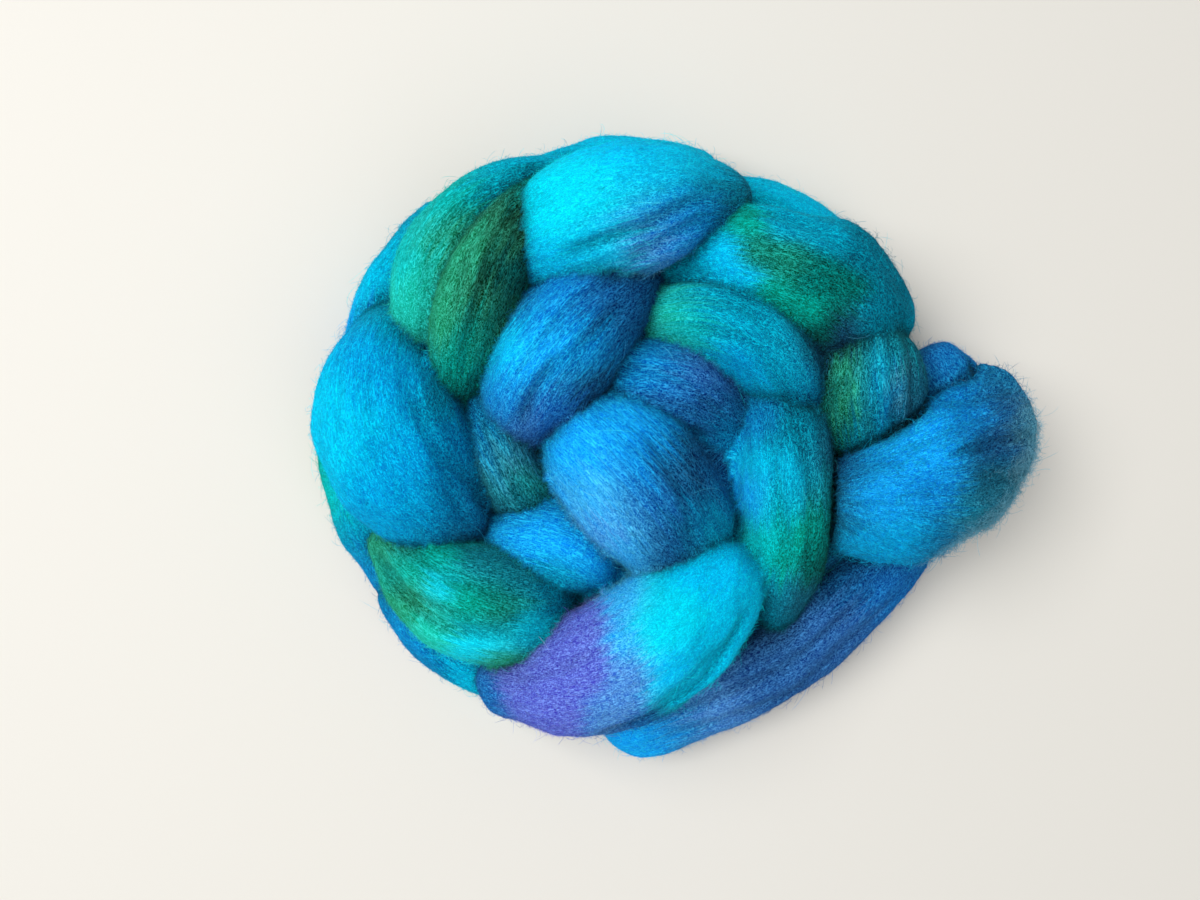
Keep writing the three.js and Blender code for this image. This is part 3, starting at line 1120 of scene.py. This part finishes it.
# Columns: name; start, crown and end of the middle line; width and thickness; where it is plumpest; how blunt
# its two ends are; dyes; folds.
OUTER_LEGS = (
    Strand("outer_3", (66, 43, 30), (66, 18, 35), (74, -12, 12), 37, 38, 0.45, (0.6, 0.5),
           # The SPRUCE and INK dabs on its inner edge are painted shade in the gaps where it meets the inner
           # legs and the loose end.
           {Dye.SPRUCE: [(46, 24, 2), (50, 4, 2), (51, 19)], Dye.INK: [(50, 33, 1)],
            Dye.LEAF: [(56, 28), (55, 18)], Dye.PINE: [(56, 9)], Dye.LAGOON: [(60, 26), (60, 15), (72, 28)],
            Dye.TEAL: [(64, 27), (64, 19, -1)], Dye.LAKE: [(68, 23), (67, 11)], Dye.STEEL: [(72, 18, -1)],
            Dye.TARN: [(77, 22, 1), (76, 10)], Dye.PETROL: [(63, 2)]},
           [Fold(((55, 36), (55, 16), (58, 0)), 1.6, 1.4), Fold(((61, 38), (62, 18), (65, 0)), 1.6, 1.3),
            Fold(((68, 38), (69, 20), (72, 2)), 1.6, 1.3), Fold(((75, 35), (76, 20), (78, 6)), 1.6, 1.3)],
           stray=10, ridges=0.4, blend=1.6, bleed=1.6),
    Strand("outer_2", (-4, 64, 20), (38, 56, 43), (73, 38, 28), 42, 42, 0.62, (0.5, 0.55),
           {Dye.CYAN: [(8, 60), (34, 80, -2), (46, 78, -2)], Dye.CAPRI: [(16, 57), (22, 49)],
            Dye.JADE: [(24, 68, -1), (31, 46), (41, 41)], Dye.PINE: [(26, 58), (34, 55, 1)],
            Dye.FOREST: [(43, 50, 2), (52, 47)], Dye.TEAL: [(36, 68, 1), (48, 63), (80, 36)],
            # Its SPRUCE and INK dabs are painted shade in the gap where it meets inner_1 and outer_3.
            Dye.PETROL: [(58, 59, 1), (69, 44), (62, 38)], Dye.SPRUCE: [(47, 35, 1)], Dye.INK: [(53, 33)]},
           [Fold(((4, 58), (22, 43), (40, 35)), 1.4), Fold(((20, 74), (44, 66), (62, 52)), 1.0),
            Fold(((24, 77), (34, 76), (44, 75), (55, 72)), 2.6, 1.3)],
           stray=34, hook=(2, -8), blend=1.7, bleed=0.4),
    Strand("outer_12", (28, 79, 34), (-12, 74, 49), (-55, 61.5, 31), 42, 42, 0.55, (0.22, 0.54),
           {Dye.AQUA: [(-36, 70), (-24, 76)], Dye.CAPRI: [(-15, 88), (-42, 54)],
            Dye.CYAN: [(9, 84), (-18, 60), (-6, 79)], Dye.PETROL: [(21, 77)], Dye.BLUE: [(11, 70)],
            Dye.SAPPHIRE: [(0, 65)], Dye.NAVY: [(18, 72, -2), (-48, 48, -1)],
            Dye.PERIWINKLE: [(-4, 60, -4)]},
           [Fold(((14, 77), (-8, 64), (-32, 57)), 2.6), Fold(((12, 70), (-4, 60), (-12, 56)), 2.0),
            Fold(((16, 82), (-4, 74), (-28, 66)), 0.7)],
           stray=20),
    Strand("outer_10_rim", (-21, 93, 20), (-69, 67, 37), (-77, 21, 30), 25, 36, 0.5, (0.6, 0.4),
           {Dye.CYAN: [(-36, 88)], Dye.TURQUOISE: [(-53, 82)], Dye.SEA: [(-70, 75), (-81, 58)],
            Dye.MINT: [(-74, 49, 2), (-78, 38)], Dye.JADE: [(-63, 74)], Dye.LEAF: [(-68, 64)]},
           [Fold(((-52, 84), (-70, 66), (-77, 44)), 1.2)],
           stray=28),
    Strand("outer_10", (-37, 89, 28), (-58, 50, 45), (-68, 13, 26), 26, 40, 0.5, (0.42, 0.42),
           {Dye.JADE: [(-45, 81, 2), (-64, 27, -1)], Dye.OLIVE: [(-49, 70, 1), (-57, 47)],
            Dye.LEAF: [(-60, 58, -1), (-67, 41)], Dye.PINE: [(-60, 36, 1)], Dye.FOREST: [(-65, 16)],
            Dye.SPRUCE: [(-49, 52, 1)]},
           [Fold(((-42, 82), (-52, 62), (-58, 40), (-63, 24)), 2.2),
            Fold(((-40, 76), (-48, 60), (-54, 44)), 1.6), Fold(((-51, 76), (-61, 56), (-67, 36)), 1.2)],
           stray=28, blend=2.4),
    Strand("outer_9", (-86, 52, 16), (-88, 7, 43), (-62, -28, 24), 48, 44, 0.6, (0.28, 0.55),
           {Dye.TEAL: [(-83, 41)], Dye.CYAN: [(-103, 14, -1), (-88, 7, -3), (-98, -6, -1)],
            Dye.CERULEAN: [(-91, 26), (-88, -14, 2), (-77, -2), (-76, -16, -2), (-82, 17, 1)],
            Dye.PETROL: [(-71, 15, -1)], Dye.LAKE: [(-68, -20), (-63, 0, -1), (-60, -24)],
            Dye.INK: [(-57, -28)]},
           [Fold(((-80, 22), (-69, -5), (-62, -25)), 1.4), Fold(((-70, 2), (-59, -15), (-53, -27)), 1.8),
            Fold(((-92, 28), (-87, 0), (-75, -22)), 0.6), Fold(((-100, 24), (-99, 0), (-88, -22)), 0.5)],
           stray=12, bleed=0.6),
    Strand("outer_8", (-97, -28, 20), (-63, -49, 41), (-31, -53, 22), 38, 40, 0.6, (0.3, 0.5),
           {Dye.LEAF: [(-88, -28, 2), (-51, -66), (-80, -48, 1)], Dye.MINT: [(-85, -33, -2), (-73, -55, 1)],
            Dye.JADE: [(-75, -32, 1), (-82, -39, 1), (-60, -47, 1)],
            Dye.AQUA: [(-71, -43, -3.2), (-61, -60, -1), (-52, -59, -1)], Dye.PINE: [(-50, -51, 1)],
            Dye.LAGOON: [(-45, -40), (-57, -38, -1)], Dye.PETROL: [(-34, -45)], Dye.TURQUOISE: [(-43, -56)]},
           [Fold(((-95, -33), (-86, -45), (-76, -51), (-64, -56), (-48, -57)), 3.2),
            Fold(((-91, -36), (-81, -45), (-71, -49), (-58, -52)), 2.2, 1.5),
            Fold(((-84, -30), (-64, -40), (-44, -46)), 1.2)],
           stray=20, blend=2.2, bleed=0.6),
    Strand("outer_6", (-61, -79, 20), (-17, -69, 44), (29, -43, 34), 44, 44, 0.6, (0.34, 0.64),
           {Dye.COBALT: [(-58, -79, -1), (-9, -84)],
            Dye.VIOLET: [(-47, -74), (-33, -61, 2), (-26, -54, 1), (-24, -66), (-36, -80)],
            Dye.SKY: [(-17, -46, -2), (-15, -58, -2)], Dye.PERIWINKLE: [(-16, -79), (-13, -68)],
            Dye.AQUA: [(-3, -55, 1), (4, -48)], Dye.CAPRI: [(9, -40), (19, -35), (-1, -66)],
            Dye.CYAN: [(12, -60), (24, -50), (0, -75)]},
           [Fold(((25, -50), (11, -71), (-9, -85), (-21, -90)), 2.8, 1.6),
            Fold(((28, -60), (15, -76), (-6, -87)), 2.6, 1.6),
            Fold(((15, -60), (4, -72), (-6, -79)), 1.6, 1.5),
            Fold(((-20, -60), (-36, -68), (-52, -76)), 1.0)],
           stray=16, hook=(-7, 12), blend=1.8, bleed=0.3),
)

INNER_LEGS = (
    Strand("inner_4", (36, 24, 22), (40, -19, 39), (36, -68, 15), 30, 38, 0.45, (0.55, 0.25),
           {Dye.BLUE: [(26, 8)], Dye.CYAN: [(31, -6)], Dye.AZURE: [(24, -16)],
            Dye.PETROL: [(39, 4), (36, -48), (34, -57)], Dye.TEAL: [(40, -11), (29, -41)],
            # Its FOREST, SPRUCE and TARN dabs on the side towards outer_3 and the loose end are partly dark
            # dye, partly painted shade.
            Dye.TURQUOISE: [(33, -18)], Dye.LAGOON: [(46, -14)], Dye.FOREST: [(51, -24, 2)],
            Dye.TARN: [(52, -3, -1), (42, -49, 1)], Dye.SPRUCE: [(53, -13), (46, -38, 2)],
            Dye.JADE: [(41, -25), (35, -37)], Dye.SEA: [(31, -29)]},
           [Fold(((30, 12), (33, -12), (37, -40)), 2.2, 2.0), Fold(((40, 8), (44, -14), (44, -36)), 1.4)],
           stray=16, blend=2.4, bleed=0.6),
    Strand("inner_1", (-7, 41, 24), (23, 38, 42), (46, 13, 32), 29, 36, 0.6, (0.6, 0.6),
           {Dye.MINT: [(-3, 41)], Dye.SEA: [(6, 40)], Dye.TEAL: [(15, 44), (23, 39), (30, 31), (37, 23)],
            # Its INK dab is painted shade in the gap where it meets outer_2 and outer_3.
            Dye.CERULEAN: [(23, 24)], Dye.LAKE: [(44, 16)], Dye.INK: [(49, 29)]},
           [Fold(((0, 47), (22, 43), (38, 28)), 1.2), Fold(((8, 38), (26, 30), (40, 14)), 1.4)],
           stray=26),
    Strand("inner_11", (-3, 60, 28), (-32, 32, 46), (-49, 6, 26), 38, 40, 0.55, (0.38, 0.55),
           {Dye.NAVY: [(-12, 50, 1), (-16, 40, 1)], Dye.SAPPHIRE: [(-30, 50), (-39, 44), (-50, 14)],
            Dye.CAPRI: [(-48, 29, -1)], Dye.AZURE: [(-39, 27)], Dye.BLUE: [(-27, 31, 1)],
            Dye.COBALT: [(-22, 46), (-36, 11)], Dye.INK: [(-23, 16), (-47, 46, -1)], Dye.INDIGO: [(-44, 7)]},
           [Fold(((-32, 28), (-42, 14), (-46, 6)), 2.4), Fold(((-10, 56), (-30, 42), (-46, 22)), 1.2),
            Fold(((-12, 44), (-26, 30), (-36, 14)), 1.4)],
           stray=30),
    Strand("inner_9", (-64, 18, 24), (-52, -5, 33), (-42, -23, 22), 24, 34, 0.5, (0.6, 0.6),
           {Dye.BLUE: [(-59, 8)], Dye.TEAL: [(-53, 1)], Dye.STEEL: [(-50, -3, -1)],
            Dye.LAGOON: [(-48, -10), (-46, -20)], Dye.PINE: [(-42, -11)],
            Dye.INK: [(-40, 0, 1), (-49, -22, -1)]},
           [Fold(((-58, 8), (-50, -8), (-44, -18)), 1.4)],
           stray=26),
    Strand("inner_7", (-54, -30, 22), (-35, -32, 35), (-19, -43, 22), 29, 34, 0.5, (0.5, 0.6),
           {Dye.AZURE: [(-36, -28), (-45, -31), (-26, -31)], Dye.TEAL: [(-35, -40)]},
           stray=24),
    Strand("heart_top", (-23, 23, 24), (2, 20, 37), (24, 9, 17), 27, 34, 0.5, (0.6, 0.6),
           {Dye.SAPPHIRE: [(-13, 25)], Dye.BLUE: [(-1, 28), (-9, 19)], Dye.COBALT: [(8, 18), (-2, 18, 1)],
            Dye.NAVY: [(15, 11, 1)], Dye.LAKE: [(19, 4)], Dye.INDIGO: [(10, 22)]},
           [Fold(((-16, 26), (2, 22), (18, 10)), 1.4)],
           stray=36),
    Strand("heart", (-28, 6, 26), (-8, -13, 44), (12, -40, 18), 46, 42, 0.45, (0.7, 0.7),
           {Dye.AZURE: [(-15, 8), (-27, -1)], Dye.BLUE: [(0, 7)], Dye.INK: [(6, -2, 1), (4, -9, 1)],
            Dye.NAVY: [(-1, -11), (0, -28, 2), (10, -9, 1)], Dye.SAPPHIRE: [(-6, 0, -1), (-10, -6)],
            Dye.COBALT: [(-3, -15, 2)], Dye.SKY: [(-21, -16), (-12, -27, -2), (-16, -37, 1)],
            Dye.LAKE: [(8, -21, 2)], Dye.TEAL: [(14, -26, -2)], Dye.PERIWINKLE: [(-18, -25, -2)]},
           [Fold(((-22, -4), (-12, -20), (-8, -34)), 0.8), Fold(((-6, 4), (4, -14), (8, -30)), 1.2)],
           stray=16),
)

RIM_STRANDS = (
    Strand("rim_1", (2, 86, 15), (46, 75, 15), (82, 40, 15), 26, 30, 0.5, (0.6, 0.6),
           {Dye.CYAN: [(36, 87), (51, 82)], Dye.TURQUOISE: [(28, 82)], Dye.PETROL: [(70, 60)],
            Dye.PINE: [(84, 40)]}),
    Strand("rim_12", (20, 90, 15), (-18, 94, 15), (-58, 80, 15), 26, 30, 0.5, (0.7, 0.7),
           {Dye.CYAN: [(10, 95), (-30, 95)], Dye.TEAL: [(-52, 85)]}),
    Strand("rim_10", (-70, 80, 15), (-88, 58, 16), (-103, 22, 17), 26, 32, 0.5, (0.7, 0.7),
           {Dye.CYAN: [(-94, 61)], Dye.TEAL: [(-91, 69)], Dye.AZURE: [(-103, 30)]}),
    Strand("rim_9", (-108, 18, 15), (-102, -18, 14), (-80, -56, 14), 28, 29, 0.5, (0.7, 0.7),
           {Dye.SEA: [(-113, -14)], Dye.TEAL: [(-106, -31)], Dye.BLUE: [(-99, -40)], Dye.JADE: [(-112, -4)]}),
    Strand("rim_8", (-92, -42, 14), (-70, -67, 14), (-36, -84, 14), 28, 29, 0.5, (0.7, 0.7),
           {Dye.BLUE: [(-83, -69)], Dye.LAKE: [(-76, -72)], Dye.CYAN: [(-66, -79)]}),
    Strand("last_loop", (-21, -97, 15), (41.5, -66.5, 16), (87, -19, 17), 39, 34, 0.5, (0.72, 0.75),
           {Dye.AZURE: [(-8, -99)], Dye.BLUE: [(9, -94, -1)], Dye.PERIWINKLE: [(14, -90)],
            Dye.INDIGO: [(36, -78), (57, -61)], Dye.COBALT: [(74, -44)], Dye.NAVY: [(57, -43), (68, -34)]},
           [Fold(((-5, -92), (40, -74), (72, -46)), 1.6), Fold(((0, -99), (45, -83), (80, -50)), 1.4)],
           stray=14),
    Strand("last_loop_far_side", (107, -10, 17), (101, 13, 20), (89, 33, 18), 26, 32, 0.6, (0.7, 0.6),
           {Dye.COBALT: [(91, 30), (102, 16)], Dye.BLUE: [(97, 24, -2)]}),
)

LOOSE_END = (
    Strand("spread_end", (51, -19, 36), (82, -12, 42), (106.5, 7.5, 28), 48, 40, 0.6, (0.52, 0.97),
           # The NAVY dab at (54, -6) and the INK dabs at its root are painted shade in the gap where it meets
           # the coil.
           {Dye.NAVY: [(54, -6), (98, 0), (104, 13), (105, 2)],
            Dye.AZURE: [(61, -16, 2), (68, 4), (78, 3, 2)],
            Dye.SAPPHIRE: [(80, -13), (92, 11, 1), (95, 21)], Dye.LAKE: [(111, 20), (82, -27)],
            Dye.PETROL: [(91, -20, 1), (106, -14)], Dye.TARN: [(100, -10, 2)],
            Dye.CERULEAN: [(59, -28), (72, -28)], Dye.INK: [(54, -14), (55, -24, -1)],
            Dye.MIST: [(117, 12, -2), (117, 1, -2), (115, -10, -2), (108, -21, -2), (97, -29, -2)],
            Dye.STEEL: [(111, 5, -2)]},
           [Fold(((88, 13), (100, 16), (112, 18)), 1.0, 1.6),
            Fold(((84, -2), (102, 2), (116, 4)), 2.0, 2.0),
            Fold(((92, -9), (104, -9), (112, -9)), 1.0, 2.0), Fold(((60, -8), (76, 1), (96, 9)), 1.0, 1.6),
            Fold(((58, -18), (78, -14), (98, -12)), 1.0, 1.6)],
           stray=11, cap=0.06, bleed=0.6, fan_root=(40, -16, 40)),
)


@dataclass(frozen=True)
class ChainBack:
    """The short slanting strands of the chain's back, in a ring under the turns. Lengths are millimetres.

    slant is how far each leans off the ring and first where the first lies, both in degrees, and bow how far
    each bulges outwards.
    """

    reach: Pair = (64.0, 60.0)
    height: float = 15.5
    length: float = 61.0
    width: float = 34.0
    thick: float = 33.0
    slant: float = 24.0
    first: float = 10.0
    bow: float = 6.0
    dyes: tuple[Dye, ...] = (
        Dye.PETROL, Dye.TEAL, Dye.JADE, Dye.CYAN, Dye.TEAL, Dye.SEA, Dye.BLUE, Dye.INDIGO, Dye.NAVY)

    def strands(self) -> list[Strand]:
        """Lays one strand for each dye, which runs into the next.

        Returns:
            The strands in their order round the ring.
        """
        strands = []
        count = len(self.dyes)
        for i, dye in enumerate(self.dyes):
            angle = math.radians(self.first + 360 * i / count)
            heading = angle + math.pi / 2 - math.radians(self.slant)
            out, ahead = (np.array([math.cos(way), math.sin(way), 0.0]) for way in (angle, heading))
            place = np.array([*MIDDLE, self.height]) + out * (*self.reach, 0.0)
            half = ahead * self.length / 2
            line = (tuple(spot) for spot in (place - half, place + out * self.bow, place + half))
            early, late = (tuple(spot[:2]) for spot in (place - half / 2, place + half / 2))
            dyes = {dye: [early], self.dyes[(i + 1) % count]: [late]}
            strands.append(Strand(f"back_{i + 1}", *line, self.width, self.thick, fat=0.5, blunt=(0.6, 0.6),
                                  dyes=dyes))
        return strands


# Columns: name, how many, their lengths, thickness, rings and seed.
COIL_COATS = (
    FibreCoat("coil_lying_fibres", 30000, (1.6, 4.2), 0.095, 1, 11),
    *(FibreCoat(f"coil_fuzz_{i + 1}", 15000, (1.0, 2.6), 0.088, 1, 21 + i, stand=(8, 60), curl=0.25, wild=0.5)
      for i in range(2)),
    FibreCoat("coil_curls", 6000, (3.0, 7.0), 0.08, 3, 25, stand=(10, 60), curl=0.4, wild=0.5),
    FibreCoat("coil_halo", 25000, (0.8, 2.8), 0.05, 1, 27, stand=(30, 85), curl=0.35, wild=0.6,
              light=(1.0, 1.7), pale=(0.3, 0.6), edge=True),
)

END_COATS = (
    FibreCoat("end_lying_fibres", 7000, (2.0, 6.0), 0.12, 1, 31),
    FibreCoat("end_fuzz", 6000, (1.2, 3.0), 0.11, 1, 41, stand=(8, 60), curl=0.25, wild=0.5),
    FibreCoat("end_curls", 2000, (3.0, 7.0), 0.08, 3, 45, stand=(10, 60), curl=0.4, wild=0.5),
    FibreCoat("end_fringe", 3600, (2.0, 5.0), 0.075, 3, 51, stand=(10, 75), curl=0.55, wild=0.4,
              toward=(0.9, -0.4, 0.1), fade=(0.2, 0.52, 0.68)),
    FibreCoat("end_wisps", 160, (5.0, 12.0), 0.095, 5, 61, stand=(5, 60), curl=0.75, wild=0.5,
              toward=(0.95, -0.3, 0.0), fade=(0.28, 0.58, 0.7)),
)

STRAY_HAIRS = (
    FibreCoat("coil_stray_hairs", 160, (7.0, 14.0), 0.07, 5, 71, stand=(10, 50), curl=0.2, wild=0.8,
              light=(1.2, 1.8), pale=(0.4, 0.6)),
)


def main() -> None:
    """Builds the braid and its studio, and reports each piece."""
    logging.basicConfig(level=logging.INFO, format="%(message)s")
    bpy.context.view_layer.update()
    bpy.ops.object.select_all(action="DESELECT")
    coil = BraidCoil("wool_coil", "braid_coil", "dyed_wool_coil",
                     [*OUTER_LEGS, *INNER_LEGS, *RIM_STRANDS, *ChainBack().strands()], voxel=1.5)
    coil.build()
    end = LooseEnd("wool_end", "loose_end", "dyed_wool_end", LOOSE_END, voxel=1.2, pinch=0.7)
    end.build(coil.piece)
    coil.settle()
    for body, other in ((coil, end), (end, coil)):
        body.lie(other.strands)
        body.dress(CombedWool())
    fibre = LooseFibre().make()
    few = 1.0
    for body, coats in ((coil, COIL_COATS), (end, END_COATS), (coil, STRAY_HAIRS)):
        for coat in coats:
            replace(coat, count=int(coat.count * few)).lay_on(body, fibre)
    Studio().build()


if __name__ == "__main__":
    main()
